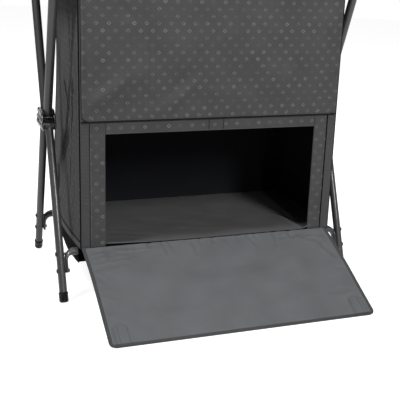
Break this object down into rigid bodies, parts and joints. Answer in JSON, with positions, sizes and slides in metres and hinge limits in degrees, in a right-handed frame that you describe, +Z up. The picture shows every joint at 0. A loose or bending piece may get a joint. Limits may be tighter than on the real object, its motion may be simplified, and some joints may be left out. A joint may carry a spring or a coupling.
{
  "type": "camping cupboard",
  "caption": "Folding camping cupboard: a fabric box with an open lower door and a shut upper door, hung in a fold-flat frame of bent steel tube under a tabletop board.",
  "frame": {"origin": "on the ground, under the middle of the whole footprint with the lower door open", "axes": "+Z up, the doors face -Y, X along the front, right-hand side of a viewer at +X"},
  "size_m": [0.7176, 0.617, 0.7135],
  "materials": {
    "tube_coating": "satin dark grey powder coat on steel tube",
    "rivet_metal": "semi-gloss black coated rivets",
    "black_plastic": "moulded black nylon with a slight sheen",
    "foot_rubber": "matt black rubber",
    "outer_fabric": "dark grey plain-weave polyester with a small lighter all-over motif",
    "lining_fabric": "coated grey polyester, plain side",
    "webbing": "black ribbed webbing and binding",
    "loop_tape": "dark grey-green loop tape, finely ribbed",
    "board_laminate": "grey fine-grained laminate"
  },
  "bodies": {
    "carcass": {"hub_plate_left": "black_plastic", "hub_plate_right": "black_plastic", "hub_cover_left": "black_plastic", "hub_cover_right": "black_plastic", "fabric_side_left": "outer_fabric", "fabric_side_right": "outer_fabric", "side_skirt_left": "webbing", "side_skirt_right": "webbing", "fabric_floor": "lining_fabric", "fabric_shelf": "lining_fabric", "fabric_top": "outer_fabric"},
    "front_wall": {"fabric_front": "outer_fabric", "loop_tape_lower_left": "loop_tape", "loop_tape_lower_right": "loop_tape", "loop_tape_upper_left": "loop_tape", "loop_tape_upper_right": "loop_tape", "lower_door_seam": "webbing", "upper_door_seam": "webbing"},
    "back_wall": {"fabric_back": "outer_fabric"},
    "lower_door": {"lower_door_panel": "lining_fabric", "lower_door_binding": "webbing"},
    "upper_door": {"upper_door_panel": "lining_fabric", "upper_door_binding": "webbing"},
    "lower_front": {"lower_front_crossbar": "tube_coating", "lower_front_leg_left": "tube_coating", "lower_front_foot_left": "foot_rubber", "lower_front_knuckle_left": "black_plastic", "lower_front_loop_left": "webbing", "lower_front_leg_right": "tube_coating", "lower_front_foot_right": "foot_rubber", "lower_front_knuckle_right": "black_plastic", "lower_front_loop_right": "webbing", "lower_front_rivet_upper_left": "rivet_metal", "lower_front_rivet_lower_left": "rivet_metal", "lower_front_rivet_upper_right": "rivet_metal", "lower_front_rivet_lower_right": "rivet_metal"},
    "lower_back": {"lower_back_crossbar": "tube_coating", "lower_back_leg_left": "tube_coating", "lower_back_foot_left": "foot_rubber", "lower_back_knuckle_left": "black_plastic", "lower_back_loop_left": "webbing", "lower_back_leg_right": "tube_coating", "lower_back_foot_right": "foot_rubber", "lower_back_knuckle_right": "black_plastic", "lower_back_loop_right": "webbing", "lower_back_rivet_upper_left": "rivet_metal", "lower_back_rivet_lower_left": "rivet_metal", "lower_back_rivet_upper_right": "rivet_metal", "lower_back_rivet_lower_right": "rivet_metal"},
    "upper_front": {"upper_front_tube": "tube_coating", "upper_front_sleeve": "outer_fabric", "upper_front_knuckle_left": "black_plastic", "upper_front_knuckle_right": "black_plastic"},
    "upper_back": {"upper_back_tube": "tube_coating", "upper_back_sleeve": "outer_fabric", "upper_back_knuckle_left": "black_plastic", "upper_back_knuckle_right": "black_plastic"},
    "tabletop": {"tabletop_board": "board_laminate", "tabletop_edge": "black_plastic"}
  },
  "joints": [
    {"name": "fold", "type": "hinge", "parent": "carcass", "child": "lower_front", "pos_m": [0, 0.08271, 0.366], "axis": [1, 0, 0], "range_deg": [0, 22.4], "deforming": ["fabric_side_left", "fabric_side_right", "side_skirt_left", "side_skirt_right", "fabric_floor", "fabric_shelf", "fabric_top"]},
    {"name": "lower_back_fold", "type": "hinge", "parent": "carcass", "child": "lower_back", "pos_m": [0, 0.14971, 0.366], "axis": [-1, 0, 0], "range_deg": [0, 22.4]},
    {"name": "upper_front_fold", "type": "hinge", "parent": "carcass", "child": "upper_front", "pos_m": [0, 0.09771, 0.39], "axis": [-1, 0, 0], "range_deg": [0, 22.4]},
    {"name": "upper_back_fold", "type": "hinge", "parent": "carcass", "child": "upper_back", "pos_m": [0, 0.1347, 0.39], "axis": [1, 0, 0], "range_deg": [0, 22.4]},
    {"name": "front_wall_slide", "type": "slide", "parent": "carcass", "child": "front_wall", "axis": [0, 1, 0], "range_m": [0, 0.115]},
    {"name": "back_wall_slide", "type": "slide", "parent": "carcass", "child": "back_wall", "axis": [0, -1, 0], "range_m": [0, 0.115]},
    {"name": "tabletop_lift", "type": "slide", "parent": "carcass", "child": "tabletop", "axis": [0, 0, 1], "range_m": [0, 0.06]},
    {"name": "lower_door_hinge", "type": "hinge", "parent": "front_wall", "child": "lower_door", "pos_m": [0, -0.05539, 0.11775], "axis": [-1, 0, 0], "range_deg": [0, 115]},
    {"name": "upper_door_hinge", "type": "hinge", "parent": "front_wall", "child": "upper_door", "pos_m": [0, -0.05539, 0.39825], "axis": [1, 0, 0], "range_deg": [0, 175]}
  ],
  "couplings": [
    {"joint": "lower_back_fold", "follows": "fold", "ratio": 1},
    {"joint": "upper_front_fold", "follows": "fold", "ratio": 1},
    {"joint": "upper_back_fold", "follows": "fold", "ratio": 1},
    {"joint": "front_wall_slide", "follows": "fold", "m_per_rad": 0.294},
    {"joint": "back_wall_slide", "follows": "fold", "m_per_rad": 0.294},
    {"joint": "tabletop_lift", "follows": "fold", "m_per_rad": 0.15}
  ]
}
